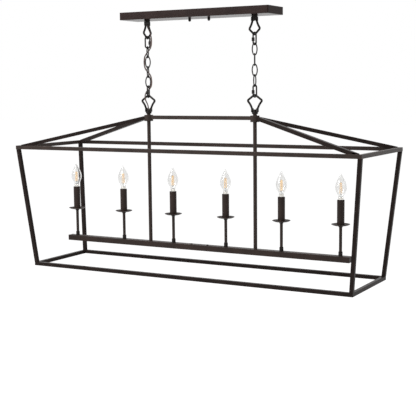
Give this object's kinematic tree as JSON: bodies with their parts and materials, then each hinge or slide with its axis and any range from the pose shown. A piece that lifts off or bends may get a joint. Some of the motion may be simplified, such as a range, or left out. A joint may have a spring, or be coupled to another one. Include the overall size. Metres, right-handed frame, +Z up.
{
  "type": "linear island pendant",
  "caption": "Open tapered lantern cage of square bronze tube on two chains under a long canopy, with candle lamps standing along a bar on its long axis.",
  "frame": {"origin": "Centre of the plane where the canopy and its strap meet the ceiling.", "axes": "+X runs along the length of the cage, +Z points up into the ceiling, -Y faces the viewer's side."},
  "size_m": [1.222, 0.358, 0.8399],
  "materials": {
    "bronze": "satin oil-rubbed bronze enamel with warm edges",
    "zinc_steel": "zinc plated steel",
    "socket_plastic": "matte moulded plastic",
    "bulb_clear": "clear blown glass",
    "bulb_metal": "nickel screw shell and collar with amber filaments",
    "cord_jacket": "brown vinyl jacket",
    "ground_copper": "bare tinned copper wire",
    "ground_green": "green zinc plated screw",
    "connector_plastic": "moulded wire connector",
    "harness_wire": "insulated wire"
  },
  "bodies": {
    "root": {"canopy_pan": "bronze", "mounting_strap": "zinc_steel", "canopy_studs": "zinc_steel", "ground_screw": "ground_green", "wire_connectors": "connector_plastic", "canopy_leads": "harness_wire", "upper_left_loop": "bronze", "upper_right_loop": "bronze", "upper_nipples": "bronze", "upper_lock_nuts": "zinc_steel"},
    "left_cap_nut_body": {"left_cap_nut": "bronze"},
    "right_cap_nut_body": {"right_cap_nut": "bronze"},
    "left_hanger": {"left_upper_quick_link": "bronze"},
    "right_hanger": {"right_upper_quick_link": "bronze"},
    "left_upper_sleeve": {"left_upper_sleeve_nut": "bronze"},
    "right_upper_sleeve": {"right_upper_sleeve_nut": "bronze"},
    "left_chain": {"left_chain_links": "bronze", "left_lower_quick_link": "bronze", "supply_cord": "cord_jacket", "ground_wire": "ground_copper"},
    "right_chain": {"right_chain_links": "bronze", "right_lower_quick_link": "bronze"},
    "left_lower_sleeve": {"left_lower_sleeve_nut": "bronze"},
    "right_lower_sleeve": {"right_lower_sleeve_nut": "bronze"},
    "cage": {"lower_left_loop": "bronze", "lower_right_loop": "bronze", "lower_nipples": "bronze", "left_hub": "bronze", "right_hub": "bronze", "ridge_bar": "bronze", "hip_bars": "bronze", "top_rails": "bronze", "bottom_rails": "bronze", "corner_posts": "bronze", "hanger_rods": "bronze", "light_bar": "bronze", "rod_nuts": "zinc_steel", "bar_cover": "bronze", "cover_screws": "bronze", "stem_nuts": "zinc_steel", "stem_couplings": "bronze", "candle_stems": "bronze", "dish_nuts": "bronze", "candle_dishes": "bronze", "candle_sleeves": "bronze", "sockets": "socket_plastic", "bar_harness": "harness_wire"},
    "bulb_1": {"bulb_1_glass": "bulb_clear", "bulb_1_base": "bulb_metal"},
    "bulb_2": {"bulb_2_glass": "bulb_clear", "bulb_2_base": "bulb_metal"},
    "bulb_3": {"bulb_3_glass": "bulb_clear", "bulb_3_base": "bulb_metal"},
    "bulb_4": {"bulb_4_glass": "bulb_clear", "bulb_4_base": "bulb_metal"},
    "bulb_5": {"bulb_5_glass": "bulb_clear", "bulb_5_base": "bulb_metal"},
    "bulb_6": {"bulb_6_glass": "bulb_clear", "bulb_6_base": "bulb_metal"}
  },
  "joints": [
    {"name": "swing", "type": "hinge", "parent": "root", "child": "left_hanger", "pos_m": [-0.195, 0, -0.07935], "axis": [1, 0, 0], "range_deg": [-8, 8], "deforming": ["supply_cord", "ground_wire"]},
    {"name": "right_swing", "type": "hinge", "parent": "root", "child": "right_hanger", "pos_m": [0.195, 0, -0.07935], "axis": [1, 0, 0], "range_deg": [-8, 8]},
    {"name": "sway", "type": "hinge", "parent": "left_hanger", "child": "left_chain", "pos_m": [-0.195, 0, -0.11105], "axis": [0, 1, 0], "range_deg": [-8, 8], "deforming": ["supply_cord", "ground_wire"]},
    {"name": "right_sway", "type": "hinge", "parent": "right_hanger", "child": "right_chain", "pos_m": [0.195, 0, -0.11105], "axis": [0, 1, 0], "range_deg": [-8, 8]},
    {"name": "level", "type": "hinge", "parent": "left_chain", "child": "cage", "pos_m": [-0.195, 0, -0.2734], "axis": [0, 1, 0], "range_deg": [-8, 8], "deforming": ["supply_cord", "ground_wire"]},
    {"name": "bulb_1_turn", "type": "hinge", "parent": "cage", "child": "bulb_1", "pos_m": [-0.4965, 0, -0.5912], "axis": [0, 0, 1], "continuous": true},
    {"name": "bulb_2_turn", "type": "hinge", "parent": "cage", "child": "bulb_2", "pos_m": [-0.3011, 0, -0.5912], "axis": [0, 0, 1], "continuous": true},
    {"name": "bulb_3_turn", "type": "hinge", "parent": "cage", "child": "bulb_3", "pos_m": [-0.1057, 0, -0.5912], "axis": [0, 0, 1], "continuous": true},
    {"name": "bulb_4_turn", "type": "hinge", "parent": "cage", "child": "bulb_4", "pos_m": [0.0897, 0, -0.5912], "axis": [0, 0, 1], "continuous": true},
    {"name": "bulb_5_turn", "type": "hinge", "parent": "cage", "child": "bulb_5", "pos_m": [0.2851, 0, -0.5912], "axis": [0, 0, 1], "continuous": true},
    {"name": "bulb_6_turn", "type": "hinge", "parent": "cage", "child": "bulb_6", "pos_m": [0.4805, 0, -0.5912], "axis": [0, 0, 1], "continuous": true},
    {"name": "left_upper_sleeve_slide", "type": "slide", "parent": "left_hanger", "child": "left_upper_sleeve", "axis": [0, 0, 1], "range_m": [0, 0.007]},
    {"name": "left_lower_sleeve_slide", "type": "slide", "parent": "left_chain", "child": "left_lower_sleeve", "axis": [0, 0, 1], "range_m": [0, 0.007]},
    {"name": "right_upper_sleeve_slide", "type": "slide", "parent": "right_hanger", "child": "right_upper_sleeve", "axis": [0, 0, 1], "range_m": [0, 0.007]},
    {"name": "right_lower_sleeve_slide", "type": "slide", "parent": "right_chain", "child": "right_lower_sleeve", "axis": [0, 0, 1], "range_m": [0, 0.007]},
    {"name": "left_cap_nut_turn", "type": "hinge", "parent": "root", "child": "left_cap_nut_body", "pos_m": [-0.03492, 0, -0.028], "axis": [0, 0, 1], "continuous": true},
    {"name": "right_cap_nut_turn", "type": "hinge", "parent": "root", "child": "right_cap_nut_body", "pos_m": [0.03492, 0, -0.028], "axis": [0, 0, 1], "continuous": true}
  ],
  "couplings": [
    {"joint": "right_swing", "follows": "swing", "ratio": 1},
    {"joint": "right_sway", "follows": "sway", "ratio": 1},
    {"joint": "level", "follows": "sway", "ratio": -1}
  ]
}
